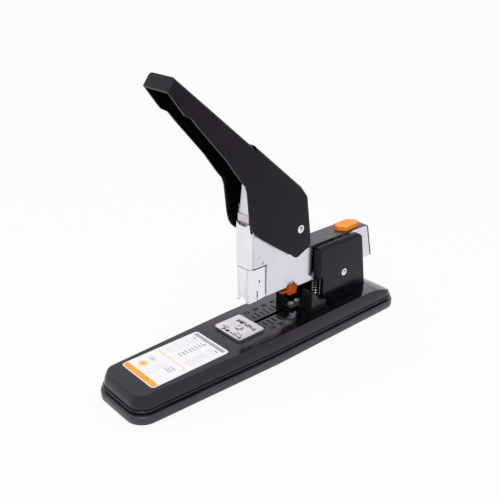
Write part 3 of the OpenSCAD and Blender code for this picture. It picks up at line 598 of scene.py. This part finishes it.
# ---------------------------------------------------------------- small nose details
def on_surface(x, y, *nodes):
    """A matrix whose Z is the surface's normal at an image point and whose Y is most upright."""
    spot, normal = place(x, y, *nodes)
    up = Vector((0, 0, 1)) - normal * normal.z
    up.normalize()
    side = up.cross(normal)
    return Matrix.Translation(spot) @ Matrix((side, up, normal)).transposed().to_4x4()


# what may lie under the marks on the nose
NOSE_CARRIERS = ("nose_plate", "head_frame", "nose_cover")


def nose_mark(name, outline, material, body):
    """One small mark on the nose, at the image point of its own name."""
    spot = on_surface(*POINTS[name], *NOSE_CARRIERS)
    plates_piece(name, [(outline, spot, 0, INK)], material, body)


def nose_details():
    """Painted shade on the nose: dark sheets for its holes, a grey triangle for the pressed mark
    and a dark strip for the shaded rim.
    """
    # the oval hole and the slit as dark sheets: painted shade inside the holes
    nose_mark("nose_oval", ellipse(0.8 * MM, 1.4 * MM, 24), HOLE_SHADE, "magazine")
    nose_mark("nose_slit", box_outline(0.9, 7.0, 0.4), HOLE_SHADE, "magazine")
    emboss = [(-2.2 * MM, -1.2 * MM), (2.2 * MM, -1.2 * MM), (1.4 * MM, 1.6 * MM)]
    # the pressed triangle as a grey sheet: painted shade of its relief on the bright nose
    nose_mark("nose_emboss", emboss, GREY_INK_AND_SHADE, "head")
    low, high = (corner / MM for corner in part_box("nose_cover"))
    rim = box_outline(high.x - low.x - 3.4, 1.0, 0.3)
    at = Matrix.Translation(Vector((0, low.y, high.z - 0.7)) * MM)
    upright = at @ Matrix.Rotation(math.pi / 2, 4, "X")
    plates_piece("nose_rim_shadow", [(rim, upright, -INK, 0)], STAMP_AND_SHADE, "head")


def side_point(node):
    """The middle of a node's side that is seen."""
    low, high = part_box(node)
    return Vector((high.x, (low.y + high.y) / 2, (low.z + high.z) / 2))


def rivet_mouth_shade(name, node, body):
    """Painted shade in the mouth of a hollow rivet: a dark crescent in the head of a pin on the
    side that is seen.
    """
    turn = Matrix.Rotation(math.pi / 2, 4, "Y")
    at = Matrix.Translation(side_point(node))
    outer, inner, shift = 1.9 * MM, 1.7 * MM, 0.8 * MM
    arc = [math.radians(a) for a in range(95, 236, 14)]
    crescent = [(outer * math.cos(a), outer * math.sin(a)) for a in arc]
    crescent += [(inner * math.cos(a) + shift, inner * math.sin(a) - shift * 0.2)
                 for a in reversed(arc)]
    plates_piece(name, [(crescent, at @ turn, 0, INK)], STAMP_AND_SHADE, body)


nose_details()
# dark crescents of painted shade in the two hollow pin heads
rivet_mouth_shade("handle_pin_mouth_shade", "handle_pin", "handle")
rivet_mouth_shade("pivot_pin_mouth_shade", "pivot_pin", "base")


# ---------------------------------------------------------------- floor, world, light
# the share of plain white in what a ray sees of the floor; the rest takes light and shadow
FLOOR_GLOW = 0.9
FLOOR_HALF = 6
# the floor lies this far below the object's feet
FLOOR_GAP = 0.2 * MM
WHITE = (1, 1, 1, 1)
ROOM_STRENGTH = 0.9
# name, place, point aimed at, size and power
LIGHTS = (
    ("key", (0.42, -0.62, 1.05), (0, -0.05, 0.05), (0.45, 0.35), 5),
    ("sheen", (-1.25, 0.9, 0.62), (0, -0.08, 0.02), (1.3, 0.5), 1.2),
)


def sees_backdrop(nodes, links):
    """1 for the rays that show the white backdrop: the camera's, mirrored and refracted ones."""
    path = nodes.new("ShaderNodeLightPath")
    total = path.outputs["Is Camera Ray"]
    for name in ("Is Glossy Ray", "Is Transmission Ray"):
        either = nodes.new("ShaderNodeMath")
        either.operation = "MAXIMUM"
        links.new(total, either.inputs[0])
        links.new(path.outputs[name], either.inputs[1])
        total = either.outputs[0]
    return total


def add_floor():
    """A white floor that still takes a little of the object's shadow."""
    mesh = bmesh.new()
    bmesh.ops.create_grid(mesh, x_segments=8, y_segments=8, size=FLOOR_HALF)
    data = bpy.data.meshes.new("floor")
    mesh.to_mesh(data)
    mesh.free()
    floor = bpy.data.objects.new("floor", data)
    floor.location.z = -FLOOR_GAP
    bpy.context.scene.collection.objects.link(floor)
    t = Tree("floor_white")
    t.set(Base_Color=srgb(236, 236, 238), Roughness=0.6, Specular_IOR_Level=0.0)
    glow = t.add("ShaderNodeEmission")
    glow.inputs["Color"].default_value = WHITE
    share = t.add("ShaderNodeMath", operation="MULTIPLY")
    share.inputs[1].default_value = FLOOR_GLOW
    t.join(sees_backdrop(t.nodes, t.links), share, 0)
    mix = t.add("ShaderNodeMixShader")
    t.join(share.outputs[0], mix, 0)
    t.join(t.shader.outputs["BSDF"], mix, 1)
    t.join(glow.outputs["Emission"], mix, 2)
    t.join(mix.outputs["Shader"], t.nodes["Material Output"], "Surface")
    data.materials.append(t.material)
    floor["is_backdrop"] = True


def add_world():
    """White where it is seen or mirrored, and a plain even light for everything else."""
    world = bpy.data.worlds.new("studio")
    world.use_nodes = True
    bpy.context.scene.world = world
    nodes, links = world.node_tree.nodes, world.node_tree.links
    room = nodes["Background"]
    room.inputs["Color"].default_value = srgb(236, 234, 240)
    room.inputs["Strength"].default_value = ROOM_STRENGTH
    white = nodes.new("ShaderNodeBackground")
    white.inputs["Color"].default_value = WHITE
    mix = nodes.new("ShaderNodeMixShader")
    links.new(sees_backdrop(nodes, links), mix.inputs[0])
    links.new(room.outputs[0], mix.inputs[1])
    links.new(white.outputs[0], mix.inputs[2])
    links.new(mix.outputs[0], nodes["World Output"].inputs["Surface"])


def add_light(name, at, aim, size, power):
    """A rectangular lamp aimed at a point."""
    data = bpy.data.lights.new(name, "AREA")
    data.shape = "RECTANGLE"
    data.size, data.size_y = size
    data.energy = power
    light = bpy.data.objects.new(name, data)
    bpy.context.scene.collection.objects.link(light)
    light.location = at
    light.rotation_euler = (Vector(aim) - Vector(at)).to_track_quat("-Z", "Y").to_euler()


add_floor()
add_world()
for lamp in LIGHTS:
    add_light(*lamp)
bpy.context.scene.view_settings.view_transform = "Standard"


# ---------------------------------------------------------------- image point residuals
def seen(point):
    """Where the camera sees a point, in image pixels."""
    data = CAMERA.data
    local = CAMERA.matrix_world.inverted() @ Vector(point)
    scale = IMAGE * data.lens / data.sensor_width / -local.z
    return (IMAGE / 2 + local.x * scale - data.shift_x * IMAGE,
            IMAGE / 2 - local.y * scale + data.shift_y * IMAGE)


def shown_extent():
    """The object's outermost places in the image, in pixels."""
    graph = bpy.context.evaluated_depsgraph_get()
    spots = []
    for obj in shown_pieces():
        mesh = obj.evaluated_get(graph).to_mesh()
        spots += [seen(obj.matrix_world @ v.co) for v in mesh.vertices]
    xs, ys = [s[0] for s in spots], [s[1] for s in spots]
    return {"left": min(xs), "right": max(xs), "top": min(ys), "bottom": max(ys)}


def feature_places():
    """Where each measured feature is seen, in image pixels."""
    def spots(obj):
        return [obj.matrix_world @ v.co for v in obj.data.vertices]

    def edge(node, key):
        return min((seen(p) for p in spots(NODES[node])), key=key)

    def middle(obj):
        return seen(sum((obj.matrix_world @ Vector(c) for c in obj.bound_box), Vector()) / 8)

    def wall_corner(node):
        return seen(max(spots(NODES[node]), key=lambda p: p.x - p.y + 20 * p.z))

    return {
        "handle_pin": seen(side_point("handle_pin")),
        "main_pin": seen(side_point("pivot_pin")),
        "nose_seam_left": seen(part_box("nose_cover")[0]),
        "anvil_near_corner": edge("anvil_plate", lambda p: -p[1]),
        "anvil_far_corner": edge("anvil_plate", lambda p: p[1]),
        "label_front_corner": edge("size_label", lambda p: p[0]),
        "label_rear_corner": edge("size_label", lambda p: -p[0]),
        "button_right": edge("release_button", lambda p: -p[0]),
        "guide_top_front": wall_corner("paper_guide"),
        "nose_oval": middle(bpy.data.objects["nose_oval"]),
        "nose_slit": middle(bpy.data.objects["nose_slit"]),
        "nose_emboss": middle(bpy.data.objects["nose_emboss"]),
    }


def write_reports():
    extent = shown_extent()
    residuals = {k: round(extent[k] - v, 2) for k, v in EDGES.items()}
    for name, (x, y) in feature_places().items():
        residuals[name] = [round(x - POINTS[name][0], 2), round(y - POINTS[name][1], 2)]


write_reports()
